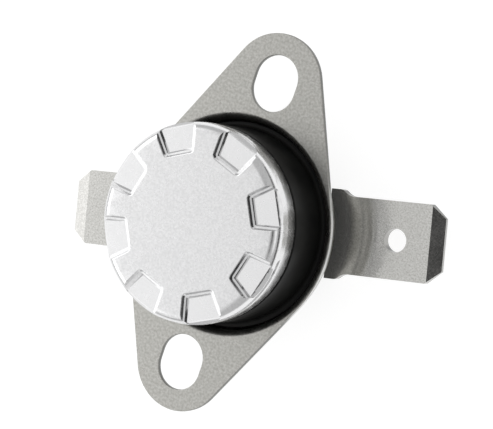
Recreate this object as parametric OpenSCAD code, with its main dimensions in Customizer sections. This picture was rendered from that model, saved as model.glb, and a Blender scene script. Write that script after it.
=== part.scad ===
// Snap-disc temperature switch. A bimetal disc under a pressed aluminium cap
// works a pair of contacts in a black moulded housing. A loose two-eared
// flange, rolled into a groove of the housing, fixes it to a panel.
// +Z points out through the cap. The origin is midway between the two fixing
// slots, on the front face of the flange. The ears lie along Y.

/* [Cap] */
// Outside radius of the cap
cap_r = 7.95; // [7.5:0.05:8.5]
// Thickness of the cap sheet
cap_t = 0.4; // [0.3:0.05:0.45]
// Height of the cap from its lower edge to its face
cap_h = 3; // [2.8:0.1:3.6]
// Inside radius of the bend between the face and the skirt of the cap
cap_bend = 0.4; // [0.2:0.05:0.5]
// Number of staked pads round the cap face
pad_count = 8; // [4:1:8]
// Depth of a pad below the cap face
pad_depth = 0.4; // [0.3:0.05:0.45]
// Length of a pad, measured from the rim towards the axis
pad_l = 1.8; // [1.5:0.05:2]
// Distance from the straight outer edge of a pad to the rim of the cap
pad_rim = 0.35; // [0.3:0.05:0.5]
// Fall of the cap beyond the outer edge of a pad, in degrees
pad_fall = 30; // [20:1:45]
// Width of a pad at its inner edge
pad_in_w = 2; // [1.6:0.1:2.2]
// Width of a pad at its outer edge
pad_out_w = 2.9; // [2.4:0.1:3.1]
// Width of the sloped wall round a pad, seen from above
pad_slope_w = 0.32; // [0.2:0.02:0.4]
// Turn of the pads about the axis, from +X
pad_turn = 29.5; // [0:0.5:45]

/* [Flange] */
// Thickness of the flange sheet
flange_t = 0.4; // [0.35:0.05:0.5]
// Gap between the neck of the housing and the collar of the flange
collar_gap = 0.7; // [0.6:0.05:0.8]
// Inside radius of the bend at the mouth of the collar
mouth_bend = 0.1; // [0.05:0.05:0.2]
// Inside radius of the bend that turns the foot of the collar inwards
foot_bend = 0.3; // [0.2:0.05:0.35]
// Width of the flat ring outside the mouth of the collar
ring_w = 0.16; // [0.1:0.01:0.5]
// Metal between the mouth of the collar and a slot
slot_land = 0.6; // [0.5:0.1:1.5]
// Width of a fixing slot
slot_w = 3.8; // [3.2:0.1:4.5]
// Extra length of a fixing slot over its width
slot_run = 0.8; // [0.2:0.1:1.5]
// Metal between the side of a slot and the rounded end of its ear
ear_margin = 2.15; // [1.5:0.05:2.5]

/* [Housing] */
// Height of the neck between the flange face and the cap
neck_h = 3.6; // [3:0.1:5]
// Step from the cap in to the neck
neck_inset = 0.05; // [0:0.05:0.15]
// Gap between the rib and the collar that hooks under it
rib_gap = 0.2; // [0.15:0.05:0.25]
// Height of the rib face below the flange face
rib_drop = 1.05; // [0.95:0.05:1.2]
// Thickness of the rib
rib_t = 0.45; // [0.4:0.05:0.6]
// Depth of the groove under the rib
groove_depth = 0.85; // [0.75:0.05:0.95]
// Step from the rib in to the ledge under the groove
ledge_inset = 0.4; // [0.3:0.05:0.5]
// Thickness of the ledge under the groove
ledge_t = 0.7; // [0.5:0.05:0.9]
// Step from the ledge in to the base
base_inset = 0.8; // [0.6:0.05:1]
// Distance from the heads of the rivets down to the foot of the housing
foot_room = 0.6; // [0.3:0.1:1.5]
// Width of the bevelled edge of the foot
foot_bevel_w = 0.7; // [0.4:0.1:1]
// Height of the bevelled edge of the foot
foot_bevel_h = 1; // [0.8:0.1:1.2]
// Thickness of the wall between the groove and the contact chamber
chamber_wall = 1.65; // [1.4:0.05:1.8]
// Thickness of the floor between the chamber and the terminals
floor_t = 1.4; // [1.2:0.1:1.8]
// Radius of the fillet where the neck meets the rib
neck_fillet_r = 0.3; // [0.2:0.05:0.35]

/* [Terminals] */
// Turn of the two terminals about the axis, from the X axis
tab_turn = 15; // [-30:1:30]
// Distance of the top of the terminals below the ledge of the housing
tab_drop = 1.4; // [1.2:0.1:2]
// Thickness of the terminals
tab_t = 0.8; // [0.6:0.1:0.8]
// Width of the plug-in tab
tab_w = 6.3; // [4.8:0.1:6.3]
// Free length of the tab, from the shoulders to its tip
tab_l = 8.65; // [8:0.05:10]
// Distance from the tip of a tab to its detent hole
tab_hole_back = 4.1; // [3.8:0.05:4.5]
// Radius of the detent hole
tab_hole_r = 0.95; // [0.8:0.05:1]
// Length of the corner cut at the tip, along the tab
tab_corner_l = 1.3; // [1:0.1:1.5]
// Depth of the corner cut at the tip, across the tab
tab_corner_w = 1.05; // [0.8:0.05:1.2]
// Length of the bevel at the tip
tab_bevel_l = 1.15; // [0.8:0.05:1.3]
// Depth of the bevel at the tip, on each face
tab_bevel_d = 0.22; // [0.15:0.01:0.25]
// Step from the edge of the tab out to the edge of its shoulder
shoulder_lip = 0.5; // [0.3:0.05:0.7]
// Distance of the shoulders inside the radius of the base
shoulder_set = 0.2; // [0:0.05:0.3]
// Length of the shoulders
shoulder_l = 1.4; // [1.1:0.1:1.6]
// Corner radius of the shoulders
shoulder_corner_r = 0.6; // [0.4:0.1:0.8]
// Radius of the fillet between a shoulder and the tab
root_fillet_r = 1.3; // [0.6:0.1:1.5]
// Width of the tongue inside the housing
tongue_w = 5; // [4.6:0.1:5.4]
// Metal between the rivet and the inner end of the tongue
tongue_end = 0.7; // [0.5:0.05:0.8]
// Radius of the rivet shank
rivet_r = 1.1; // [0.9:0.05:1.2]
// Step from the shank out to the rim of the rivet head
rivet_flange = 0.6; // [0.4:0.05:0.7]
// Height of a rivet head
rivet_head_h = 0.5; // [0.4:0.05:0.6]
// Step from the shank out to the rim of the spread rivet end
rivet_lip = 0.25; // [0.15:0.05:0.3]

/* [Switch] */
// Distance from the rim of the bimetal disc to the inside of the cap
disc_margin = 1.2; // [1.1:0.05:1.4]
// Thickness of the bimetal disc
disc_t = 0.25; // [0.15:0.05:0.25]
// Rise of the disc from its edge to its middle
disc_rise = 0.3; // [0.2:0.02:0.3]
// Thickness of the pin guide under the disc
guide_t = 0.7; // [0.6:0.1:0.9]
// Height of the seat rim on the pin guide
seat_h = 0.2; // [0.15:0.05:0.3]
// Width of the seat rim under the disc
seat_w = 0.9; // [0.7:0.1:1.2]
// Width of the guard rim round the disc
guard_w = 0.6; // [0.5:0.05:0.7]
// Wall of the boss that guides the pin
boss_wall = 0.95; // [0.6:0.05:1.3]
// Length of the boss below the pin guide
boss_l = 1.9; // [1.5:0.1:2.2]
// Radius of the push pin
pin_r = 1; // [0.8:0.05:1.1]
// Height of the contact arm above the chamber floor
arm_rise = 1.95; // [1.9:0.05:2.1]
// Thickness of the contact arm
arm_t = 0.3; // [0.2:0.05:0.3]
// Width of the contact arm and the bracket
strip_w = 3; // [2.6:0.1:3.3]
// Thickness of the contact bracket
bracket_t = 0.5; // [0.4:0.05:0.55]
// Inside radius of the bends of the arm and the bracket
strip_bend = 0.25; // [0.15:0.05:0.3]
// Gap between the folds of the arm or the bracket and the chamber wall
strip_gap = 0.45; // [0.4:0.05:0.6]
// Distance from the contacts to the riser of the bracket
contact_back = 1.95; // [1.9:0.05:2.1]
// Radius of the contact buttons
contact_r = 1.2; // [1:0.05:1.25]
// Height of a contact button
contact_h = 0.48; // [0.4:0.02:0.5]

/* [Clearances] */
// Gap round the flange collar, so that it turns freely
turn_gap = 0.15; // [0.1:0.01:0.2]
// Gap between pieces that are assembled by hand
fit_gap = 0.05; // [0.02:0.01:0.08]
// Gap between the closed contacts and between pin and arm
touch_gap = 0.02; // [0.01:0.01:0.04]
// Gap on each side of a terminal in its channel
channel_gap = 0.15; // [0.1:0.05:0.3]
// Gap between a rivet end and the bend of the strip that it holds
bend_gap = 0.05; // [0:0.05:0.2]

/* [Hidden] */
$fn = 96;
disc_facets = 1440;
cut = 1;
arc_steps = 10;
arc_skip = 4;

// Housing and cap, from the cap down
neck_r = cap_r - neck_inset;
collar_in_r = neck_r + collar_gap;
rib_r = collar_in_r - rib_gap;
groove_r = rib_r - groove_depth;
ledge_r = rib_r - ledge_inset;
base_r = ledge_r - base_inset;
foot_r = base_r - foot_bevel_w;
chamber_r = groove_r - chamber_wall;
cap_low = neck_h;
cap_top = cap_low + cap_h;
cap_edge_r = cap_bend + cap_t;
cap_in_r = cap_r - cap_t;
spigot_r = cap_in_r - fit_gap;
cap_hook = 0.25;
cap_hook_h = cap_t;
hook_groove_r = spigot_r - cap_hook;
neck_top = cap_low - fit_gap;

// Flange
mouth_r = mouth_bend + flange_t;
mouth_out_r = collar_in_r + mouth_r;
collar_out_r = collar_in_r + flange_t;
flange_mid_r = mouth_out_r + ring_w;
slot_l = slot_w + slot_run;
ear_end_r = slot_w / 2 + ear_margin;
ear_c = mouth_out_r + slot_land + slot_l / 2;
ear_taper = asin((flange_mid_r - ear_end_r) / ear_c);
foot_top = -rib_drop - rib_t - turn_gap;
foot_low = foot_top - flange_t;
foot_in_r = groove_r + turn_gap + fit_gap;
foot_bend_r = foot_bend + flange_t;

// Lower half of the housing
groove_top = -rib_drop - rib_t;
groove_low = foot_low - turn_gap;
ledge_low = groove_low - ledge_t;
ledge_bevel = base_inset / 2;
tab_top = ledge_low - tab_drop;
tab_low = tab_top - tab_t;
chamber_floor = tab_top + floor_t;
base_low = tab_low - rivet_head_h - foot_room;

// Pads
pad_z = cap_top - pad_depth;
pad_out_r = cap_r - pad_rim;
pad_in_r = pad_out_r - pad_l;
pad_flare = atan((pad_out_w - pad_in_w) / 2 / pad_l);
pad_slope = pad_slope_w / pad_depth;
over_z = cap_top + cut;

// Stack under the cap face
disc_r = cap_in_r - disc_margin;
seat_top = pad_z - cap_t - fit_gap - disc_t;
guide_top = seat_top - seat_h;
guide_low = guide_top - guide_t;
guide_r = spigot_r - fit_gap;
boss_r = pin_r + fit_gap + boss_wall;
disc_bow_r = (disc_r * disc_r + disc_rise * disc_rise) / (2 * disc_rise);

// Strips, rivets and terminals
strip_end = chamber_r - strip_gap;
rivet_end_r = rivet_r + rivet_lip;
rivet_head_r = rivet_r + rivet_flange;
rivet_out = strip_end - bracket_t - strip_bend - bend_gap - rivet_end_r;
foot_in = rivet_out - strip_w / 2;
rivet_bevel = 0.15;
tongue_in = rivet_out - rivet_r - tongue_end;
channel_w = tongue_w + 2 * channel_gap;
channel_in = tongue_in - 2 * channel_gap;
shoulder_w = tab_w + 2 * shoulder_lip;
shoulder_in = base_r - shoulder_set;
tab_tip = shoulder_in + shoulder_l + tab_l;

// Contacts
arm_low = chamber_floor + arm_rise;
arm_top = arm_low + arm_t;
moving_top = arm_top + contact_h;
fixed_low = moving_top + touch_gap;
bracket_under = fixed_low + contact_h;
bracket_top = bracket_under + bracket_t;
pin_low = arm_top + touch_gap;
pin_top = seat_top + disc_rise - fit_gap;
contact_out = strip_end - bracket_t - contact_back;
strip_tip = contact_out + contact_r + 0.15;
contact_neck_r = contact_r * 0.4;
contact_tail_r = contact_r * 0.65;
contact_tail_h = 0.2;

// A quarter of a ring, in the corner that sx and sy point to
module quarter_ring(out_r, in_r, sx, sy) {
    intersection() {
        difference() {
            circle(r = out_r);
            circle(r = in_r);
        }
        translate([sx > 0 ? 0 : -out_r, sy > 0 ? 0 : -out_r]) square(out_r);
    }
}

// Turns its children so that X runs along the terminals
module along_tabs() {
    rotate([0, 0, tab_turn]) children();
}

module ear_outline() {
    circle(r = flange_mid_r);
    for (side = [-1, 1]) {
        translate([0, side * ear_c]) circle(r = ear_end_r);
    }
    mid = [flange_mid_r * cos(ear_taper), flange_mid_r * sin(ear_taper)];
    tip = [ear_end_r * cos(ear_taper), ear_c + ear_end_r * sin(ear_taper)];
    polygon([
        [mid[0], mid[1]], [tip[0], tip[1]], [-tip[0], tip[1]], [-mid[0], mid[1]],
        [-mid[0], -mid[1]], [-tip[0], -tip[1]], [tip[0], -tip[1]], [mid[0], -mid[1]]
    ]);
}

module slot_outline() {
    half_run = (slot_l - slot_w) / 2;
    for (side = [-1, 1]) {
        translate([0, side * half_run]) circle(d = slot_w);
    }
    square([slot_w, 2 * half_run], center = true);
}

// Section of the collar: rounded mouth, straight wall and turned-in foot
module collar_section() {
    foot_c = [collar_out_r - foot_bend_r, foot_low + foot_bend_r];
    lap = (flange_mid_r - mouth_out_r) / 2;
    translate([mouth_out_r, -flange_t]) square([lap, flange_t]);
    translate([mouth_out_r, -mouth_r]) quarter_ring(mouth_r, mouth_r - flange_t, -1, 1);
    translate([collar_in_r, foot_c[1]]) square([flange_t, -mouth_r - foot_c[1]]);
    translate(foot_c) quarter_ring(foot_bend_r, foot_bend_r - flange_t, 1, -1);
    translate([foot_in_r, foot_low]) square([foot_c[0] - foot_in_r, flange_t]);
}

// One blank of steel sheet: two slotted ears and the drawn, rolled collar
module flange() {
    color([0.71, 0.7, 0.67]) {
        translate([0, 0, -flange_t]) linear_extrude(flange_t) difference() {
            ear_outline();
            circle(r = mouth_out_r);
            for (side = [-1, 1]) {
                translate([0, side * ear_c]) slot_outline();
            }
        }
        rotate_extrude() collar_section();
    }
}

// Half section of a cup with a rounded upper edge
module cup_section(r, low, top, edge_r) {
    translate([0, low]) square([r, top - edge_r - low]);
    translate([0, low]) square([r - edge_r, top - low]);
    translate([r - edge_r, top - edge_r]) circle(r = edge_r);
}

// Half space inwards of one side wall of a pad. grow moves it out by the sheet
module pad_wall(grow) {
    floor_z = pad_z - grow;
    half_w = pad_in_w / 2 + grow * tan(45 / 2);
    translate([pad_in_r, half_w, 0]) rotate([0, 0, pad_flare]) rotate([90, 0, 90])
        translate([0, 0, -cap_r]) linear_extrude(2 * cap_r) polygon([
            [-cap_r, floor_z - 2 * cut], [0, floor_z - 2 * cut], [0, floor_z],
            [(over_z - floor_z) * pad_slope, over_z], [-cap_r, over_z]
        ]);
}

// Space over one pad, with sloped walls. grow moves it out by the sheet
module pad_space(grow) {
    floor_z = pad_z - grow;
    inner = pad_in_r - grow * tan(45 / 2);
    outer = pad_out_r - grow * tan(pad_fall / 2);
    reach = cap_r + cut;
    intersection() {
        rotate([90, 0, 0]) linear_extrude(2 * cap_r, center = true) polygon([
            [inner, floor_z], [outer, floor_z], [reach, floor_z - (reach - outer) * tan(pad_fall)],
            [reach, over_z], [inner - (over_z - floor_z) * pad_slope, over_z]
        ]);
        pad_wall(grow);
        mirror([0, 1, 0]) pad_wall(grow);
    }
}

module each_pad() {
    for (i = [0 : pad_count - 1]) {
        rotate([0, 0, pad_turn + i * 360 / pad_count]) children();
    }
}

// Drawn aluminium cup. Its pads press on the disc, its edge is rolled inwards
module cap() {
    color([0.88, 0.88, 0.87]) difference() {
        union() {
            rotate_extrude() {
                difference() {
                    cup_section(cap_r, cap_low, cap_top, cap_edge_r);
                    cup_section(cap_in_r, cap_low - cut, cap_top - cap_t, cap_bend);
                }
                translate([cap_in_r - cap_hook, cap_low]) square([cap_hook + cap_t / 2, cap_hook_h]);
            }
            intersection() {
                translate([0, 0, guide_top]) cylinder(r = cap_r - cap_t / 2,
                    h = cap_top - cap_t / 2 - guide_top);
                each_pad() pad_space(cap_t);
            }
        }
        each_pad() pad_space(0);
    }
}

// Turned outline of the housing, from the foot up to the seat of the guide
module housing_section() {
    hook_top = cap_low + cap_hook_h + fit_gap;
    fillet_r = neck_r + neck_fillet_r;
    fillet_z = -rib_drop + neck_fillet_r;
    difference() {
        polygon([
            [0, base_low], [foot_r, base_low], [base_r, base_low + foot_bevel_h],
            [base_r, ledge_low - ledge_bevel], [ledge_r, ledge_low], [ledge_r, groove_low],
            [groove_r, groove_low], [groove_r, groove_top], [rib_r, groove_top],
            [rib_r, -rib_drop], [fillet_r, -rib_drop], [fillet_r, fillet_z],
            [neck_r, fillet_z], [neck_r, neck_top], [hook_groove_r, neck_top],
            [hook_groove_r, hook_top], [spigot_r, hook_top], [spigot_r, guide_low],
            [0, guide_low]
        ]);
        translate([fillet_r, fillet_z]) circle(r = neck_fillet_r);
    }
}

// Black moulding with the contact chamber and a channel for each terminal
module housing() {
    color([0.06, 0.06, 0.06]) difference() {
        rotate_extrude() housing_section();
        translate([0, 0, chamber_floor]) cylinder(r = chamber_r, h = guide_low - chamber_floor + cut);
        along_tabs() for (turn = [0, 180]) {
            rotate([0, 0, turn]) {
                translate([channel_in, -channel_w / 2, base_low - cut])
                    cube([cap_r, channel_w, tab_top - base_low + cut]);
                translate([rivet_out, 0, tab_top - cut])
                    cylinder(r = rivet_r + fit_gap, h = floor_t + 2 * cut);
            }
        }
    }
}

// Points of an arc about c, from angle a0 to angle a1
function arc_points(c, r, a0, a1) = [
    for (i = [0 : arc_steps])
        let (a = a0 + (a1 - a0) * i / arc_steps) [c[0] + r * cos(a), c[1] + r * sin(a)]
];

// Outline of a blade. Each shoulder corner is an arc that runs out in a fillet
module blade_outline() {
    edge = tab_w / 2;
    corner = [shoulder_in + shoulder_l - shoulder_corner_r, shoulder_w / 2 - shoulder_corner_r];
    fillet_v = edge + root_fillet_r;
    run = sqrt(pow(shoulder_corner_r + root_fillet_r, 2) - pow(fillet_v - corner[1], 2));
    fillet = [corner[0] + run, fillet_v];
    turn = atan2(fillet[1] - corner[1], run);
    half = concat(
        [[tongue_in, tongue_w / 2], [shoulder_in, tongue_w / 2], [shoulder_in, shoulder_w / 2]],
        arc_points(corner, shoulder_corner_r, 90, turn),
        arc_points(fillet, root_fillet_r, 180 + turn + arc_skip, 270),
        [[tab_tip - tab_corner_l, edge], [tab_tip, edge - tab_corner_w]]
    );
    difference() {
        polygon(concat(half, [for (i = [len(half) - 1 : -1 : 0]) [half[i][0], -half[i][1]]]));
        translate([rivet_out, 0]) circle(r = rivet_r + fit_gap);
        translate([tab_tip - tab_hole_back, 0]) circle(r = tab_hole_r);
    }
}

// Wedge above the tip of a blade whose top face is at z = 0
module tip_wedge() {
    slope = tab_bevel_d / tab_bevel_l;
    rotate([90, 0, 0]) linear_extrude(2 * tab_w, center = true) polygon([
        [tab_tip - tab_bevel_l, 0], [tab_tip + cut, -slope * (tab_bevel_l + cut)],
        [tab_tip + cut, cut], [tab_tip - tab_bevel_l, cut]
    ]);
}

// Stamped blade with a plug-in tab, pointing along X
module terminal() {
    difference() {
        translate([0, 0, tab_low]) linear_extrude(tab_t) blade_outline();
        translate([0, 0, tab_top]) tip_wedge();
        translate([0, 0, tab_low]) mirror([0, 0, 1]) tip_wedge();
    }
}

module right_terminal() {
    color([0.75, 0.74, 0.7]) along_tabs() terminal();
}

module left_terminal() {
    color([0.75, 0.74, 0.7]) along_tabs() rotate([0, 0, 180]) terminal();
}

// Rivet through a terminal and the floor. grip_t is the strip that it clamps
module rivet(grip_t) {
    head_low = tab_low - rivet_head_h;
    end_low = chamber_floor + grip_t;
    end_top = end_low + rivet_head_h;
    translate([rivet_out, 0, 0]) rotate_extrude() polygon([
        [0, head_low], [rivet_head_r - rivet_bevel, head_low],
        [rivet_head_r, head_low + rivet_bevel], [rivet_head_r, tab_low],
        [rivet_r, tab_low], [rivet_r, end_low], [rivet_end_r, end_low],
        [rivet_end_r, end_top - rivet_bevel], [rivet_end_r - rivet_bevel, end_top],
        [0, end_top]
    ]);
}

module right_rivet() {
    color([0.8, 0.68, 0.42]) along_tabs() rivet(arm_t);
}

module left_rivet() {
    color([0.8, 0.68, 0.42]) along_tabs() rotate([0, 0, 180]) rivet(bracket_t);
}

// Shallow dished disc that snaps when it gets hot
module bimetal_disc() {
    bow_z = seat_top + disc_rise - disc_bow_r;
    color([0.72, 0.7, 0.66]) rotate_extrude() intersection() {
        difference() {
            translate([0, bow_z]) circle(r = disc_bow_r + disc_t, $fn = disc_facets);
            translate([0, bow_z]) circle(r = disc_bow_r, $fn = disc_facets);
        }
        translate([0, guide_top]) square([disc_r, 2 * cut]);
    }
}

// Moulded plate that closes the chamber, seats the disc and guides the pin
module pin_guide() {
    bore_r = pin_r + fit_gap;
    rim_in = disc_r + fit_gap;
    rim_out = rim_in + guard_w;
    color([0.1, 0.1, 0.1]) rotate_extrude() polygon([
        [bore_r, guide_low - boss_l], [boss_r, guide_low - boss_l], [boss_r, guide_low],
        [guide_r, guide_low], [guide_r, guide_top], [rim_out, guide_top],
        [rim_out, seat_top + disc_t], [rim_in, seat_top + disc_t], [rim_in, seat_top],
        [disc_r - seat_w, seat_top], [disc_r - seat_w, guide_top], [bore_r, guide_top]
    ]);
}

// Ceramic pin that carries the snap of the disc to the contact arm
module push_pin() {
    bevel = 0.2;
    color([0.92, 0.91, 0.86]) rotate_extrude() polygon([
        [0, pin_low], [pin_r - bevel, pin_low], [pin_r, pin_low + bevel],
        [pin_r, pin_top - bevel], [pin_r - bevel, pin_top], [0, pin_top]
    ]);
}

// Strip bent to a C: a riveted foot, a riser and a top that reaches to tip
module folded_strip(t, top, tip) {
    bend_r = t + strip_bend;
    color([0.8, 0.66, 0.4]) difference() {
        rotate([90, 0, 0]) linear_extrude(strip_w, center = true) {
            translate([foot_in, chamber_floor]) square([strip_end - bend_r - foot_in, t]);
            translate([strip_end - t, chamber_floor + bend_r])
                square([t, top - chamber_floor - 2 * bend_r]);
            translate([tip, top - t]) square([strip_end - bend_r - tip, t]);
            translate([strip_end - bend_r, chamber_floor + bend_r])
                quarter_ring(bend_r, bend_r - t, 1, -1);
            translate([strip_end - bend_r, top - bend_r])
                quarter_ring(bend_r, bend_r - t, 1, 1);
        }
        translate([rivet_out, 0, chamber_floor - cut])
            cylinder(r = rivet_r + fit_gap, h = t + cut + cut / 4);
    }
}

module contact_arm() {
    along_tabs() difference() {
        folded_strip(arm_t, arm_top, -strip_tip);
        translate([-contact_out, 0, arm_low - cut])
            cylinder(r = contact_neck_r + fit_gap, h = arm_t + 2 * cut);
    }
}

module contact_bracket() {
    along_tabs() rotate([0, 0, 180]) difference() {
        folded_strip(bracket_t, bracket_top, contact_out - contact_r);
        translate([contact_out, 0, bracket_under - cut])
            cylinder(r = contact_neck_r + fit_gap, h = bracket_t + 2 * cut);
    }
}

// Button riveted through a strip of thickness t. Z = 0 is the strip face
module contact_button(t, gap) {
    rotate_extrude() polygon([
        [0, gap], [contact_neck_r, gap], [contact_r, gap], [contact_r, contact_h - 0.1],
        [contact_r - 0.1, contact_h], [0, contact_h]
    ]);
    translate([0, 0, -t - gap]) cylinder(r = contact_neck_r, h = t + 3 * gap);
    translate([0, 0, -t - gap - contact_tail_h]) cylinder(r = contact_tail_r, h = contact_tail_h);
}

module moving_contact() {
    color([0.86, 0.86, 0.84]) along_tabs() translate([-contact_out, 0, arm_top])
        contact_button(arm_t, touch_gap);
}

module fixed_contact() {
    color([0.86, 0.86, 0.84]) along_tabs() translate([-contact_out, 0, bracket_under])
        mirror([0, 0, 1]) contact_button(bracket_t, 0);
}

housing();
cap();
flange();
left_terminal();
right_terminal();
left_rivet();
right_rivet();
bimetal_disc();
pin_guide();
push_pin();
contact_arm();
moving_contact();
contact_bracket();
fixed_contact();
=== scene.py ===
import math

import bmesh
import bpy
import numpy as np
from mathutils import Matrix, Vector
from mathutils.geometry import delaunay_2d_cdt, tessellate_polygon


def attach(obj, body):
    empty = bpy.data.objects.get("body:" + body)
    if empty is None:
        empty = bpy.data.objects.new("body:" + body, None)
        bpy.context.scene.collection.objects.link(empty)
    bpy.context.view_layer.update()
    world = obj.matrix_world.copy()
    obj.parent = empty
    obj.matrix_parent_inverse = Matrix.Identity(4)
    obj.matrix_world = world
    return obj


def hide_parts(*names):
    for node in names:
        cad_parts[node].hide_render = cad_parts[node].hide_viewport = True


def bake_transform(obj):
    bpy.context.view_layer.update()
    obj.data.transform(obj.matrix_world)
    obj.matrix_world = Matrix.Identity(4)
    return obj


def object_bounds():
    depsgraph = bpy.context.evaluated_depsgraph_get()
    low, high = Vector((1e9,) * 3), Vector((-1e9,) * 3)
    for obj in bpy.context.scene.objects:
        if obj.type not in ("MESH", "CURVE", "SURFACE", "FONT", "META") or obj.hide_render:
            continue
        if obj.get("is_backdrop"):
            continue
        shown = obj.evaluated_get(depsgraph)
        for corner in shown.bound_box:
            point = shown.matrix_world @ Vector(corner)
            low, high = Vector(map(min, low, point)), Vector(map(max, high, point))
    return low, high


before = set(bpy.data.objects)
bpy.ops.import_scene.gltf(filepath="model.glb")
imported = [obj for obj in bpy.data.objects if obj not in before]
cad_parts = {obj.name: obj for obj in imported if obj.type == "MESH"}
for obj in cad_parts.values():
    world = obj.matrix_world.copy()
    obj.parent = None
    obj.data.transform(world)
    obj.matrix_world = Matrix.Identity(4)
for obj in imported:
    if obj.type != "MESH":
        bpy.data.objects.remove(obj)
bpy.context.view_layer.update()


# Housing
# The black body is a glossy phenolic moulding, round and turned-looking, with
# a deep groove that holds the loose flange. A channel under each side takes
# the tongue of a terminal.

MM = 0.001
TURN = 15.0              # angle of the terminals from the X axis, degrees
NECK_R, RIB_R, GROOVE_R, LEDGE_R, BASE_R = 7.9, 8.4, 7.55, 8.0, 7.2
CHAMBER_R, LIP_R = 5.9, 7.5
FLOOR_Z, BASE_Z = -2.9, -6.2
CHANNEL_L, CHANNEL_W, CHANNEL_H = 8.0, 5.3, 4.0
CHANNEL_OUT, CHANNEL_Z = 5.2, -6.3       # middle of a channel
RIVET_OUT, RIVET_HOLE_R = 3.3, 1.15
RIVET_HOLE_Z, RIVET_HOLE_L = -3.6, 3.0


def along(out, height=0, turn=TURN):
    """A point so far out and so high in millimetres, on a turn about the axis."""
    angle = math.radians(turn)
    return Vector((out * math.cos(angle), out * math.sin(angle), height)) * MM


def rounded(corners, steps=5):
    """The points of a section whose corners (r, z, radius) are rounded off."""
    points = []
    for i, (r, z, radius) in enumerate(corners):
        here = Vector((r, z))
        if radius == 0 or i in (0, len(corners) - 1):
            points.append((r, z))
            continue
        back = Vector(corners[i - 1][:2]) - here
        ahead = Vector(corners[i + 1][:2]) - here
        half = back.angle(ahead) / 2
        room = [0.98 * radius / (radius + corners[k][2]) for k in (i - 1, i + 1)]
        reach = min(radius / math.tan(half), room[0] * back.length, room[1] * ahead.length)
        radius = reach * math.tan(half)
        start, end = back.normalized() * reach, ahead.normalized() * reach
        centre = (start + end).normalized() * (radius / math.sin(half))
        begin = math.atan2(*(start - centre).yx)
        sweep = math.remainder(math.atan2(*(end - centre).yx) - begin, 2 * math.pi)
        for k in range(steps + 1):
            angle = begin + sweep * k / steps
            arm = Vector((math.cos(angle), math.sin(angle))) * radius
            points.append(tuple(here + centre + arm))
    return points


def lathe(rings, segments):
    """Points and faces of rings (r, z) about Z. A ring of radius 0 is a point."""
    points, faces, loops = [], [], []
    angles = np.arange(segments) * 2 * math.pi / segments
    for r, z in rings:
        first = len(points)
        if np.all(np.asarray(r) == 0):
            points.append((0.0, 0.0, float(np.mean(z))))
            loops.append([first] * segments)
            continue
        r, z = np.broadcast_to(r, segments), np.broadcast_to(z, segments)
        points += zip(r * np.cos(angles), r * np.sin(angles), z)
        loops.append(list(range(first, first + segments)))
    for inner, outer in zip(loops, loops[1:]):
        for j in range(segments):
            k = (j + 1) % segments
            quad = [inner[j], outer[j], outer[k], inner[k]]
            faces.append(list(dict.fromkeys(quad)))
    return points, faces


def shape(name, points, faces, finish, smooth=30):
    """A mesh object from points in millimetres, smooth up to an angle in degrees."""
    mesh = bpy.data.meshes.new(name)
    mesh.from_pydata([tuple(c * MM for c in p) for p in points], [], faces)
    mesh.materials.append(finish)
    mesh.polygons.foreach_set("use_smooth", [True] * len(mesh.polygons))
    mesh.set_sharp_from_angle(angle=math.radians(smooth))
    piece = bpy.data.objects.new(name, mesh)
    bpy.context.scene.collection.objects.link(piece)
    return piece


def even_shading(piece):
    """Flat faces stay flat right up to their rounded edges."""
    normals = piece.modifiers.new("even_shading", "WEIGHTED_NORMAL")
    normals.keep_sharp = True
    normals.weight = 100


def settle(piece):
    """Makes the modifiers of a piece part of its mesh."""
    graph = bpy.context.evaluated_depsgraph_get()
    settled = bpy.data.meshes.new_from_object(piece.evaluated_get(graph))
    piece.modifiers.clear()
    piece.data = settled


def carve(piece, cutter):
    """Cuts one object's shape out of another and deletes the cutter."""
    cut = piece.modifiers.new("cut", "BOOLEAN")
    cut.operation, cut.solver, cut.object = "DIFFERENCE", "EXACT", cutter
    settle(piece)
    bpy.data.objects.remove(cutter)


def bare(name, colour, metallic, roughness):
    """A material in its plain colour and its shader, still without any detail."""
    finish = bpy.data.materials.new(name)
    finish.use_nodes = True
    shader = finish.node_tree.nodes["Principled BSDF"]
    shader.inputs["Base Color"].default_value = (*colour, 1)
    shader.inputs["Metallic"].default_value = metallic
    shader.inputs["Roughness"].default_value = roughness
    return finish, shader


def noise(finish, per_mm, detail=3.0, stretch=(1, 1, 1), turn=0.0):
    """Noise in the object's own space, with so many waves in a millimetre."""
    nodes, links = finish.node_tree.nodes, finish.node_tree.links
    place = nodes.new("ShaderNodeTexCoord")
    frame_of = nodes.new("ShaderNodeMapping")
    frame_of.inputs["Rotation"].default_value[2] = math.radians(turn)
    frame_of.inputs["Scale"].default_value = [s * per_mm / MM for s in stretch]
    field = nodes.new("ShaderNodeTexNoise")
    field.inputs["Scale"].default_value = 1.0
    field.inputs["Detail"].default_value = detail
    links.new(place.outputs["Object"], frame_of.inputs["Vector"])
    links.new(frame_of.outputs["Vector"], field.inputs["Vector"])
    return field.outputs["Fac"]


def spread(finish, field, low, high, start=0.3, stop=0.7):
    """Takes the noise from start to stop and spreads it from low to high."""
    span = finish.node_tree.nodes.new("ShaderNodeMapRange")
    for socket, value in zip(("From Min", "From Max", "To Min", "To Max"),
                             (start, stop, low, high)):
        span.inputs[socket].default_value = value
    finish.node_tree.links.new(field, span.inputs["Value"])
    return span.outputs["Result"]


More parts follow.
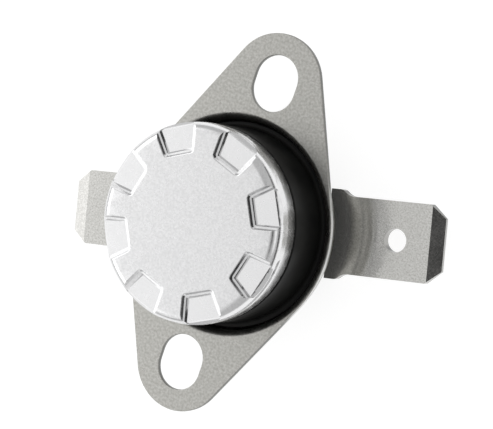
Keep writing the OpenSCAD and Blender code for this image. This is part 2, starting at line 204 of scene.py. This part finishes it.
def tint(finish, shader, field, dark, light, start=0.35, stop=0.65):
    """Colours the surface from dark to light as the noise rises."""
    nodes, links = finish.node_tree.nodes, finish.node_tree.links
    ramp = nodes.new("ShaderNodeValToRGB")
    ramp.color_ramp.elements[0].position = start
    ramp.color_ramp.elements[0].color = (*dark, 1)
    ramp.color_ramp.elements[1].position = stop
    ramp.color_ramp.elements[1].color = (*light, 1)
    links.new(field, ramp.inputs["Fac"])
    links.new(ramp.outputs["Color"], shader.inputs["Base Color"])


def relief(finish, shader, fields):
    """Adds each (noise, height in mm) to the surface as bump."""
    nodes, links = finish.node_tree.nodes, finish.node_tree.links
    last = None
    for field, height in fields:
        bump = nodes.new("ShaderNodeBump")
        bump.inputs["Strength"].default_value = 1.0
        bump.inputs["Distance"].default_value = height * MM
        links.new(field, bump.inputs["Height"])
        if last:
            links.new(last, bump.inputs["Normal"])
        last = bump.outputs["Normal"]
    links.new(last, shader.inputs["Normal"])


phenolic, shader = bare("black_phenolic", (0.008, 0.008, 0.009), 0, 0.3)
shader.inputs["Specular IOR Level"].default_value = 0.1
grain = noise(phenolic, 6, 2)
swirl = noise(phenolic, 0.35, 4)
tint(phenolic, shader, swirl, (0.009, 0.009, 0.009), (0.017, 0.017, 0.016))
phenolic.node_tree.links.new(spread(phenolic, swirl, 0.28, 0.42), shader.inputs["Roughness"])
relief(phenolic, shader, [(swirl, 0.02), (grain, 0.0015)])

housing_section = rounded([
    (0, FLOOR_Z, 0), (CHAMBER_R, FLOOR_Z, 0.3), (CHAMBER_R, 4.6, 0.05),    # contact chamber
    (LIP_R, 4.6, 0.12), (LIP_R, 4.05, 0.05),                               # lip under the guide
    (7.25, 4.05, 0.05), (7.25, 3.55, 0.05),                                # room for the cap's edge
    (NECK_R, 3.55, 0.1), (NECK_R, -1.05, 0.3),
    (RIB_R, -1.05, 0.1), (RIB_R, -1.5, 0.1),
    (GROOVE_R, -1.5, 0.08), (GROOVE_R, -2.2, 0.08),
    (LEDGE_R, -2.2, 0.1), (LEDGE_R, -2.9, 0.12),
    (BASE_R, -3.3, 0.2), (BASE_R, -5.2, 0.25), (6.5, BASE_Z, 0.25), (0, BASE_Z, 0),
])
body = shape("moulded_body", *lathe(housing_section, 192), phenolic)
for turn in (TURN, TURN + 180):
    bpy.ops.mesh.primitive_cube_add(size=1, location=along(CHANNEL_OUT, CHANNEL_Z, turn),
                                    rotation=(0, 0, math.radians(turn)))
    channel = bpy.context.object
    channel.scale = Vector((CHANNEL_L, CHANNEL_W, CHANNEL_H)) * MM
    carve(body, channel)
    bpy.ops.mesh.primitive_cylinder_add(vertices=48, radius=RIVET_HOLE_R * MM,
                                        depth=RIVET_HOLE_L * MM,
                                        location=along(RIVET_OUT, RIVET_HOLE_Z, turn))
    carve(body, bpy.context.object)
soft_edge = body.modifiers.new("channel_edge", "BEVEL")
soft_edge.width, soft_edge.segments, soft_edge.angle_limit = 0.06 * MM, 2, math.radians(50)
even_shading(body)
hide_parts("housing")
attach(body, "body")


# Terminals
# Each terminal is one flat blade, stamped from brass strip and tinned. Its tip
# is coined to a bevel on both faces so that a receptacle slides on, and the
# small hole takes the receptacle's dimple.

def own(finish, output):
    """The parts of the object's own position or normal at a point."""
    nodes, links = finish.node_tree.nodes, finish.node_tree.links
    place = nodes.new("ShaderNodeTexCoord")
    split = nodes.new("ShaderNodeSeparateXYZ")
    links.new(place.outputs[output], split.inputs[0])
    return split.outputs


def maths(finish, operation, *values):
    """One sum on values of the surface, worked out point by point."""
    step = finish.node_tree.nodes.new("ShaderNodeMath")
    step.operation = operation
    for value, socket in zip(values, step.inputs):
        finish.node_tree.links.new(value, socket)
    return step.outputs[0]


def walls(finish, start=0.5, stop=0.8):
    """1 on the cut edges of a level sheet and 0 on its faces."""
    upright = maths(finish, "ABSOLUTE", own(finish, "Normal")["Z"])
    return spread(finish, upright, 1, 0, start, stop)


def recolour(finish, shader, mask, colour):
    """Gives the surface another colour where the mask is 1."""
    nodes, links = finish.node_tree.nodes, finish.node_tree.links
    mix = nodes.new("ShaderNodeMix")
    mix.data_type = "RGBA"
    links.new(mask, mix.inputs["Factor"])
    links.new(shader.inputs["Base Color"].links[0].from_socket, mix.inputs["A"])
    mix.inputs["B"].default_value = (*colour, 1)
    links.new(mix.outputs["Result"], shader.inputs["Base Color"])


def broken_edges(piece, width, finish):
    """Breaks the sharp edges of a CAD solid, as on a stamped or turned part."""
    piece.data.materials.clear()
    piece.data.materials.append(finish)
    piece.data.polygons.foreach_set("use_smooth", [True] * len(piece.data.polygons))
    whole = piece.modifiers.new("flat_faces", "DECIMATE")
    whole.decimate_type, whole.angle_limit = "DISSOLVE", math.radians(0.5)
    edge = piece.modifiers.new("broken_edge", "BEVEL")
    edge.width, edge.segments, edge.angle_limit = width * MM, 2, math.radians(14)
    even_shading(piece)


tinned, shader = bare("tinned_brass", (0.64, 0.635, 0.61), 0.76, 0.2)
pores = noise(tinned, 7, 3)
cloud = noise(tinned, 0.45, 3)
rolled = noise(tinned, 2.2, 4, stretch=(0.12, 1, 1), turn=-TURN)
tint(tinned, shader, pores, (0.5, 0.495, 0.47), (0.72, 0.715, 0.69), 0.3, 0.65)
# Painted shade: the coined bevels of the tip, with every other face that is not level, are painted
# darker and made less metallic, unevenly.
shade_and_tone = maths(tinned, "MULTIPLY", walls(tinned, 0.985, 0.99),
               spread(tinned, pores, 1, 0.6, 0.4, 0.6))
recolour(tinned, shader, shade_and_tone, (0.43, 0.425, 0.41))
tinned.node_tree.links.new(spread(tinned, shade_and_tone, 0.76, 0.92, 0, 1), shader.inputs["Metallic"])
# Painted shade on the cut edges of the blade.
recolour(tinned, shader, walls(tinned), (0.42, 0.415, 0.4))
# Painted shade: the long side edges of the blade, which face across it, are painted nearly black.
painted_shade_sides = maths(tinned, "ABSOLUTE", own(tinned, "Normal")["Y"])
recolour(tinned, shader, spread(tinned, painted_shade_sides, 0, 1, 0.6, 0.9), (0.12, 0.12, 0.115))
tinned.node_tree.links.new(spread(tinned, cloud, 0.1, 0.18), shader.inputs["Roughness"])
relief(tinned, shader, [(rolled, 0.003), (pores, 0.0012)])
for node in ("left_terminal", "right_terminal"):
    broken_edges(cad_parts[node], 0.05, tinned)


# Rivets
# A tubular brass rivet goes up through each terminal and the floor of the
# body, and its end is spread inside the chamber.

plain_brass, shader = bare("plain_brass", (0.78, 0.6, 0.3), 1, 0.28)
tarnish = noise(plain_brass, 1.2, 5)
tint(plain_brass, shader, tarnish, (0.55, 0.4, 0.2), (0.8, 0.63, 0.34))
plain_brass.node_tree.links.new(
    spread(plain_brass, tarnish, 0.2, 0.42), shader.inputs["Roughness"])
relief(plain_brass, shader, [(noise(plain_brass, 7, 2), 0.002)])
for node in ("left_rivet", "right_rivet"):
    broken_edges(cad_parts[node], 0.06, plain_brass)


# Contact arm and bracket
# Both are strips of spring brass, folded to a C. The thin arm carries the
# moving contact and bends when the pin pushes it down, and the stiffer bracket
# holds the fixed contact above it.

spring_brass, shader = bare("spring_brass", (0.8, 0.62, 0.32), 1, 0.25)
drawn = noise(spring_brass, 3, 3, stretch=(0.08, 1, 1), turn=-TURN)
tint(spring_brass, shader, drawn, (0.7, 0.53, 0.26), (0.84, 0.67, 0.37))
spring_brass.node_tree.links.new(
    spread(spring_brass, drawn, 0.2, 0.36), shader.inputs["Roughness"])
relief(spring_brass, shader, [(drawn, 0.003)])
broken_edges(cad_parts["contact_bracket"], 0.03, spring_brass)

BEND_OUT, BEND_STEP, BENDS = 4.1, 0.35, 18    # cross lines across the upper leg, the part of the arm that flexes
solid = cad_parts["contact_arm"]
leaf = bpy.data.objects.new("leaf_arm", solid.data.copy())
leaf.data.transform(solid.matrix_world)
bpy.context.scene.collection.objects.link(leaf)
broken_edges(leaf, 0.03, spring_brass)
settle(leaf)
mesh = bmesh.new()
mesh.from_mesh(leaf.data)
for k in range(BENDS):
    everything = mesh.verts[:] + mesh.edges[:] + mesh.faces[:]
    bmesh.ops.bisect_plane(mesh, geom=everything, dist=1e-8, plane_no=along(1).normalized(),
                           plane_co=along(BEND_OUT - BEND_STEP * k))
mesh.to_mesh(leaf.data)
mesh.free()
even_shading(leaf)
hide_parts("contact_arm")
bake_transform(leaf)


# Contacts
# Two buttons of silver alloy, each with a shank that goes through its strip
# and is headed over behind it.

silver, shader = bare("silver_alloy", (0.88, 0.87, 0.84), 1, 0.3)
frost = noise(silver, 5, 4)
tint(silver, shader, frost, (0.72, 0.71, 0.68), (0.9, 0.89, 0.86))
silver.node_tree.links.new(spread(silver, frost, 0.22, 0.4), shader.inputs["Roughness"])
relief(silver, shader, [(frost, 0.003)])
for node in ("moving_contact", "fixed_contact"):
    broken_edges(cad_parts[node], 0.04, silver)


# Pin guide
# A dark moulded plate that closes the chamber, with a boss that guides the pin
# and a rim on which the disc sits.

dark_moulding, shader = bare("dark_moulding", (0.03, 0.027, 0.024), 0, 0.5)
filler = noise(dark_moulding, 4, 4)
tint(dark_moulding, shader, filler, (0.02, 0.018, 0.016), (0.05, 0.045, 0.04))
relief(dark_moulding, shader, [(filler, 0.004)])
broken_edges(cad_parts["pin_guide"], 0.05, dark_moulding)


# Push pin
# A short rod of ground ceramic, loose in the guide, that carries the snap of
# the disc down to the arm.

ceramic, shader = bare("ground_ceramic", (0.82, 0.79, 0.7), 0, 0.4)
rings = noise(ceramic, 3, 3, stretch=(0.2, 0.2, 1.5))
tint(ceramic, shader, rings, (0.76, 0.73, 0.64), (0.86, 0.84, 0.77))
relief(ceramic, shader, [(rings, 0.002)])
broken_edges(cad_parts["push_pin"], 0.04, ceramic)


# Bimetal disc
# Two metals rolled together, then blanked and dished. It lies loose on the rim
# of the guide and snaps over when hot.

bimetal, shader = bare("bimetal", (0.55, 0.52, 0.46), 1, 0.3)
lay = noise(bimetal, 2.5, 3, stretch=(0.06, 1, 1), turn=40)
tint(bimetal, shader, lay, (0.48, 0.45, 0.4), (0.6, 0.57, 0.51))
relief(bimetal, shader, [(lay, 0.002)])
broken_edges(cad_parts["bimetal_disc"], 0.03, bimetal)


# Cap
# A cup pressed from thin aluminium sheet, satin on the outside. Eight staked
# pads press on the rim of the disc, and the lower edge is rolled under a lip
# of the body.

CAP_R, CAP_TOP, CAP_EDGE, CAP_SHEET = 7.95, 6.6, 0.8, 0.38
PAD_Z, PAD_IN, PAD_OUT = 6.2, 5.8, 7.6
PAD_HALF = 1             # half the pad's width at its inner edge
PAD_END = 7.72           # where its creases stop, below the rounded rim
PAD_TURNS = [29.5 + 45 * k for k in range(8)]
FLARE = 0.25             # growth of half the pad's width along its length
STEEP = 1.9              # slope of the cut below the floor of a pad
# Wall of a pad: distance out from the floor and height above it
WALL = [(0, 0), (0.13, 0.19), (0.29, 0.208), (0.41, 0.375), (0.47, 0.4)]
# Coined edge and fall of the sheet beyond the straight outer edge of a pad
FALL = [(0, 0), (0.11, -0.14), (0.4, -0.37)]
ROUND = 240              # points round the cap


def wall_height(out):
    """Height on the wall of a pad. Below the floor the cut goes on steeply."""
    return out * STEEP if out < 0 else float(np.interp(out, *zip(*WALL)))


def pad_distances(x, y):
    """Distance out from the floor of the nearest pad, and past its outer edge."""
    nearest = min(PAD_TURNS, key=lambda t: -math.cos(math.atan2(y, x) - math.radians(t)))
    turn = math.radians(nearest)
    u = x * math.cos(turn) + y * math.sin(turn)
    v = abs(y * math.cos(turn) - x * math.sin(turn))
    beside = v - PAD_HALF
    side = (beside - (u - PAD_IN) * FLARE) / math.hypot(1, FLARE)
    if beside > 0 and u - PAD_IN + beside * FLARE < 0:
        return math.hypot(u - PAD_IN, beside), u - PAD_OUT
    return max(PAD_IN - u, side), u - PAD_OUT


def cup_height(r):
    """Height of the plain cup at a distance from the axis."""
    over = max(r - (CAP_R - CAP_EDGE), 0)
    return CAP_TOP - CAP_EDGE + math.sqrt(max(CAP_EDGE ** 2 - over ** 2, 0))


def pressed_height(x, y):
    """Height of the outside of the cap face at a point."""
    cup = cup_height(math.hypot(x, y))
    out, past = pad_distances(x, y)
    if out > WALL[-1][0]:
        return cup
    floor = float(np.interp(max(past, 0), *zip(*FALL)))
    return min(cup, PAD_Z + max(floor, wall_height(out)))


def circle(r):
    """Points (x, y) on a circle about the axis."""
    turns = [2 * math.pi * k / ROUND for k in range(ROUND)]
    return [(r * math.cos(t), r * math.sin(t)) for t in turns]


def pad_lines(turn):
    """The creases of a pad, seen from above, as open and closed lines."""
    lines = []
    for out, _ in WALL:
        reach = PAD_HALF + out * math.hypot(1, FLARE) + (PAD_END - PAD_IN) * FLARE
        half = [(PAD_END, reach)]
        for k in range(7 if out else 1):
            angle = math.atan(FLARE) * (1 - k / 6) + math.pi / 2 * (1 + k / 6)
            half.append((PAD_IN + out * math.cos(angle), PAD_HALF + out * math.sin(angle)))
        lines.append(half + [(u, -v) for u, v in reversed(half)])
    for past, fall in FALL[:2]:
        u = PAD_OUT + past
        half = PAD_HALF + (u - PAD_IN) * FLARE + fall / STEEP
        lines.append([(u, -half), (u, half)])
    c, s = math.cos(math.radians(turn)), math.sin(math.radians(turn))
    return [[(u * c - v * s, u * s + v * c) for u, v in line] for line in lines]


def uncut(r, angle):
    """Whether the rounded rim is whole at this distance and angle."""
    height = pressed_height(r * math.cos(angle), r * math.sin(angle))
    return height > cup_height(r) - 1e-7


def rim_crease(turn):
    """The line on which the cut of a pad runs out through the rounded rim."""
    line = []
    for k in range(-60, 61):
        angle = math.radians(turn + k * 0.25)
        low, high = CAP_R - CAP_EDGE, CAP_R - 0.001
        if uncut(low, angle):
            continue
        for _ in range(30):
            mid = (low + high) / 2
            low, high = (low, mid) if uncut(mid, angle) else (mid, high)
        line.append((high * math.cos(angle), high * math.sin(angle)))
    return line


def facing_out(piece):
    """Turns every face of a closed mesh outwards."""
    mesh = bmesh.new()
    mesh.from_mesh(piece.data)
    bmesh.ops.recalc_face_normals(mesh, faces=mesh.faces)
    mesh.to_mesh(piece.data)
    mesh.free()


def off_axis(finish):
    """Distance of a point from the axis of the part."""
    x, y, _ = own(finish, "Object")
    return maths(finish, "SQRT", maths(finish, "ADD", maths(finish, "MULTIPLY", x, x),
                                       maths(finish, "MULTIPLY", y, y)))


def join(plan, edges, line, closed=False):
    """Adds a line of points to the plan of the cap, with its edges."""
    first = len(plan)
    plan += [Vector(p) for p in line]
    edges += [(first + k, first + k + 1) for k in range(len(line) - 1)]
    if closed:
        edges.append((len(plan) - 1, first))


plan, edges = [], []
join(plan, edges, circle(CAP_R), True)
for k in range(13):
    r = CAP_R - CAP_EDGE + CAP_EDGE * math.sin(math.radians(7 * k))
    if r < CAP_R - 0.01:
        join(plan, edges, circle(r), True)
for turn in PAD_TURNS:
    join(plan, edges, rim_crease(turn))
    for line in pad_lines(turn):
        join(plan, edges, line)
plan, _, faces, *_ = delaunay_2d_cdt(plan, edges, [list(range(ROUND))], 1, 1e-5)
points = [(p.x, p.y, pressed_height(p.x, p.y)) for p in plan]
rim = [i for i, p in enumerate(plan) if p.length > CAP_R - 1e-4]
rim.sort(key=lambda i: math.atan2(plan[i].y, plan[i].x) % (2 * math.pi))
under = rounded([
    (7.965, 5.45, 0), (7.975, 5.15, 0.1), (7.86, 3.6, 0.25),               # skirt
    (7.3, 3.6, 0.1), (7.3, 4.0, 0.08),                                     # rolled edge
    (7.55, 4.0, 0.05), (7.55, 5.85, 0.3), (7.2, 6.15, 0.1), (6.9, 6.2, 0),
])
under += [(r, [pressed_height(x, y) - CAP_SHEET for x, y in circle(r)])
          for r in (6.7, 6.4, 6.1, 5.8, 5.5, 5.3, 5.1, 4, 2)]
for r, z in under:
    ring = range(len(points), len(points) + ROUND)
    heights = np.broadcast_to(z, ROUND)
    points += [(x, y, h) for (x, y), h in zip(circle(r), heights)]
    faces += [[rim[j], ring[j], ring[(j + 1) % ROUND], rim[(j + 1) % ROUND]]
              for j in range(ROUND)]
    rim = list(ring)
faces.append(rim)

satin, shader = bare("satin_aluminium", (0.75, 0.75, 0.75), 1, 0.26)
fine = noise(satin, 6, 3)
rubbed_and_glint = noise(satin, 1.6, 5)
tint(satin, shader, fine, (0.71, 0.71, 0.715), (0.79, 0.79, 0.795))
# Everything below the level of the face, the pad floors and the skirt with it, is a little lighter.
shade_and_tone = spread(satin, own(satin, "Object")["Z"], 1, 0, 6.22 * MM, 6.3 * MM)
recolour(satin, shader, shade_and_tone, (0.805, 0.805, 0.81))
pad_walls = maths(satin, "MULTIPLY", walls(satin, 0.7, 0.95),
                  spread(satin, off_axis(satin), 1, 0, 7.7 * MM, 7.75 * MM))
burnished = maths(satin, "MULTIPLY", spread(satin, rubbed_and_glint, 0.2, 0.3),
                  spread(satin, pad_walls, 1, 0.5, 0, 1))
satin.node_tree.links.new(burnished, shader.inputs["Roughness"])
relief(satin, shader, [(rubbed_and_glint, 0.003), (fine, 0.0015)])
cap = shape("pressed_cap", points, faces, satin, 15)
facing_out(cap)
even_shading(cap)
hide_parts("cap")
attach(cap, "body")


# Flange
# One blank of zinc plated steel sheet. Its middle is drawn down into a collar
# round the body, and the foot of the collar is turned in under the rib, so
# that the flange stays on but swivels.

EAR_C, EAR_R, MID_R, SHEET = 12.0, 4.05, 9.26, 0.4
SLOT_R, SLOT_RUN = 1.9, 0.4
MOUTH_R, COLLAR_R, FOOT_R, FOOT_Z = 9.18, 8.6, 7.75, -2.05
COLLAR_STEPS = 360       # points round the collar


def arc(cx, cy, r, start, stop, count):
    """Points (x, y) and outward directions along an arc, angles in degrees."""
    turns = [math.radians(start + (stop - start) * k / count) for k in range(count + 1)]
    return [((cx + r * math.cos(t), cy + r * math.sin(t)), (math.cos(t), math.sin(t)))
            for t in turns]


def ear_outline():
    """The outline of the blank, with an arc at each ear and each side."""
    taper = math.degrees(math.asin((MID_R - EAR_R) / EAR_C))
    line = []
    for side in (0, 180):
        line += arc(0, 0, MID_R, side - taper, side + taper, 36)
        line += arc(0, EAR_C * (1 if side == 0 else -1), EAR_R, side + taper,
                    side + 180 - taper, 48)
    return line


def slot_outline(side):
    """The outline of the slot in the ear on one side, 1 or -1."""
    line = []
    for end in (1, -1):
        cy = side * EAR_C + end * SLOT_RUN
        start = 0 if end == 1 else 180
        line += arc(0, cy, SLOT_R, start, start + 180, 32)
    return [(p, (-d[0], -d[1])) for p, d in line]


def sheared(outline, points, faces):
    """A cut edge of the sheet: rolled over above, with a fine burr below."""
    loops = []
    for inset, z in ((0.06, 0), (0.03, -0.01), (0.01, -0.03), (0, -0.07),
                     (0, -SHEET + 0.04), (0.012, -SHEET + 0.012), (0.04, -SHEET)):
        loops.append(range(len(points), len(points) + len(outline)))
        points += [(p[0] - d[0] * inset, p[1] - d[1] * inset, z) for p, d in outline]
    count = len(outline)
    for upper, lower in zip(loops, loops[1:]):
        faces += [[upper[j], lower[j], lower[(j + 1) % count], upper[(j + 1) % count]]
                  for j in range(count)]
    return loops[0], loops[-1]


collar_section = rounded([
    (MOUTH_R, 0, 0), (COLLAR_R, 0, 0.56), (COLLAR_R, FOOT_Z + SHEET, 0.4),    # inside
    (FOOT_R, FOOT_Z + SHEET, 0.1), (FOOT_R, FOOT_Z, 0.1),                     # foot, turned in
    (COLLAR_R + SHEET, FOOT_Z, 1.15), (COLLAR_R + SHEET, -SHEET, 0.1), (MOUTH_R, -SHEET, 0),
], 10)
points, faces = lathe(collar_section, COLLAR_STEPS)
top_loops = [range(COLLAR_STEPS)]
low_loops = [range(len(points) - COLLAR_STEPS, len(points))]
for outline in (ear_outline(), slot_outline(1), slot_outline(-1)):
    top, low = sheared(outline, points, faces)
    top_loops.append(top)
    low_loops.append(low)
for loops in (top_loops, low_loops):
    order = [loops[1], loops[0], loops[2], loops[3]]
    index = [i for loop in order for i in loop]
    for tri in tessellate_polygon([[Vector(points[i]) for i in loop] for loop in order]):
        faces.append([index[k] for k in tri])

zinc, shader = bare("zinc_plate", (0.44, 0.435, 0.41), 1, 0.32)
spangle = noise(zinc, 1.1, 5)
pits = noise(zinc, 5, 3)
tint(zinc, shader, pits, (0.38, 0.375, 0.35), (0.51, 0.505, 0.48), 0.35, 0.65)
zinc.node_tree.links.new(spread(zinc, spangle, 0.26, 0.38), shader.inputs["Roughness"])
relief(zinc, shader, [(spangle, 0.0025), (pits, 0.0015)])
# The cut edges outside the mouth are painted dark: partly the bare steel of the sheared edge,
# partly painted shade.
cut = maths(zinc, "MULTIPLY", walls(zinc),
            spread(zinc, off_axis(zinc), 0, 1, 9.16 * MM, 9.2 * MM))
recolour(zinc, shader, cut, (0.17, 0.17, 0.16))
# Painted highlight: the cut edge of the middle ring, on both sides between the ears, is painted
# near white and made almost non-metallic, as a glint.
beside = maths(zinc, "ABSOLUTE", own(zinc, "Object")["Y"])
rubbed_and_glint = maths(zinc, "MULTIPLY", cut, spread(zinc, beside, 1, 0, 3.5 * MM, 6 * MM))
recolour(zinc, shader, rubbed_and_glint, (0.97, 0.97, 0.95))
zinc.node_tree.links.new(spread(zinc, rubbed_and_glint, 1, 0.1, 0, 1), shader.inputs["Metallic"])
flange = shape("swivel_flange", points, faces, zinc)
facing_out(flange)
whole = flange.modifiers.new("flat_faces", "DECIMATE")
whole.decimate_type, whole.angle_limit = "DISSOLVE", math.radians(0.5)
even_shading(flange)
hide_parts("flange")
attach(flange, "flange")


# Studio
# A pale table that keeps a soft shadow, broad lamps from the upper left, two
# black cards that show only as reflections in the metal, and the camera at the
# angle of the photograph.

TABLE_Z, TABLE_W = -6.21, 3000
TABLE_GLOW = 0.86        # lifts the table to white where nothing shades it
bpy.ops.mesh.primitive_plane_add(size=TABLE_W * MM, location=(0, 0, TABLE_Z * MM))
table = bpy.context.object
table.name = "table"
paper = bpy.data.materials.new("white_table")
paper.use_nodes = True
nodes, links = paper.node_tree.nodes, paper.node_tree.links
nodes.clear()
output = nodes.new("ShaderNodeOutputMaterial")
lit = nodes.new("ShaderNodeBsdfDiffuse")
lit.inputs["Color"].default_value = (0.8, 0.8, 0.8, 1)
shaded = nodes.new("ShaderNodeBsdfDiffuse")
shaded.inputs["Color"].default_value = (0.3, 0.3, 0.3, 1)
glow = nodes.new("ShaderNodeEmission")
glow.inputs["Strength"].default_value = TABLE_GLOW
both = nodes.new("ShaderNodeAddShader")
pick = nodes.new("ShaderNodeMixShader")
rays = nodes.new("ShaderNodeLightPath")
seen = nodes.new("ShaderNodeMath")
seen.operation = "MAXIMUM"
seen_too = nodes.new("ShaderNodeMath")
seen_too.operation = "MAXIMUM"
links.new(rays.outputs["Is Camera Ray"], seen.inputs[0])
links.new(rays.outputs["Is Glossy Ray"], seen.inputs[1])
links.new(seen.outputs[0], seen_too.inputs[0])
links.new(rays.outputs["Is Transmission Ray"], seen_too.inputs[1])
links.new(shaded.outputs[0], both.inputs[0])
links.new(glow.outputs[0], both.inputs[1])
links.new(seen_too.outputs[0], pick.inputs["Fac"])
links.new(lit.outputs[0], pick.inputs[1])
links.new(both.outputs[0], pick.inputs[2])
links.new(pick.outputs[0], output.inputs["Surface"])
table.data.materials.append(paper)
table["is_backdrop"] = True

world = bpy.data.worlds.new("studio")
world.use_nodes = True
nodes, links = world.node_tree.nodes, world.node_tree.links
room = nodes["Background"]
room.inputs["Color"].default_value = (0.58, 0.58, 0.58, 1)
white = nodes.new("ShaderNodeBackground")
white.inputs["Color"].default_value = (1, 1, 1, 1)
pick = nodes.new("ShaderNodeMixShader")
rays = nodes.new("ShaderNodeLightPath")
links.new(rays.outputs["Is Camera Ray"], pick.inputs["Fac"])
links.new(room.outputs[0], pick.inputs[1])
links.new(white.outputs[0], pick.inputs[2])
links.new(pick.outputs[0], nodes["World Output"].inputs["Surface"])
bpy.context.scene.world = world


def aim(stand, azimuth, height, distance):
    """Puts an object so many degrees round and above the part, facing it."""
    a, h = math.radians(azimuth), math.radians(height)
    towards = Vector((math.cos(a) * math.cos(h), math.sin(a) * math.cos(h), math.sin(h)))
    stand.location = towards * distance * MM
    stand.rotation_euler = towards.to_track_quat("Z", "Y").to_euler()


for name, azimuth, height, distance, width, tall, radiance in (
        ("window", 199, 50, 400, 900, 370, 0.25),
        ("low_window", 199, 43, 400, 900, 330, 0.17),
        ("key", 192, 35, 380, 500, 240, 0.85),
        ("fill", 20, 45, 420, 300, 160, 0.5)):
    lamp = bpy.data.lights.new(name, "AREA")
    lamp.shape, lamp.size, lamp.size_y = "RECTANGLE", width * MM, tall * MM
    lamp.energy = radiance * math.pi * lamp.size * lamp.size_y
    stand = bpy.data.objects.new(name, lamp)
    bpy.context.scene.collection.objects.link(stand)
    aim(stand, azimuth, height, distance)

black_card, shader = bare("black_card", (0.02, 0.02, 0.02), 0, 0.9)
for name, azimuth, height, distance, width, tall in (
        ("card_right", 20, 3, 95, 260, 46), ("card_above", 20, 80, 250, 90, 90)):
    bpy.ops.mesh.primitive_plane_add(size=1)
    card = bpy.context.object
    card.name = name
    card.scale = (width * MM, tall * MM, 1)
    aim(card, azimuth, height, distance)
    card.data.materials.append(black_card)
    card.visible_camera = False
    card.visible_diffuse = False
    card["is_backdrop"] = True

AZIMUTH, TILT, ROLL = 18.84, 26.96, -88.12    # TILT is measured from the part's axis
DISTANCE = 170.0
SHIFT_X, SHIFT_Y = -1.57, -0.77               # the part's place in the picture
FOCUS, FRAME_W = 2106.11, 493                 # both in pixels
azimuth, tilt, roll = (math.radians(a) for a in (AZIMUTH, TILT, ROLL))
back = Vector((math.sin(tilt) * math.cos(azimuth), math.sin(tilt) * math.sin(azimuth),
               math.cos(tilt)))
level = Vector((-math.sin(azimuth), math.cos(azimuth), 0))
right = math.cos(roll) * level + math.sin(roll) * back.cross(level)
up = back.cross(right)
lens = bpy.data.cameras.new("camera")
lens.sensor_width = 36
lens.lens = FOCUS * lens.sensor_width / FRAME_W
lens.clip_start = 0.01
camera = bpy.data.objects.new("camera", lens)
place = (DISTANCE * back - SHIFT_X * right - SHIFT_Y * up) * MM
camera.matrix_world = Matrix([[right[i], up[i], back[i], place[i]] for i in range(3)]
                             + [[0, 0, 0, 1]])
bpy.context.scene.collection.objects.link(camera)
bpy.context.scene.camera = camera
bpy.context.scene.view_settings.view_transform = "Standard"

low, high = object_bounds()
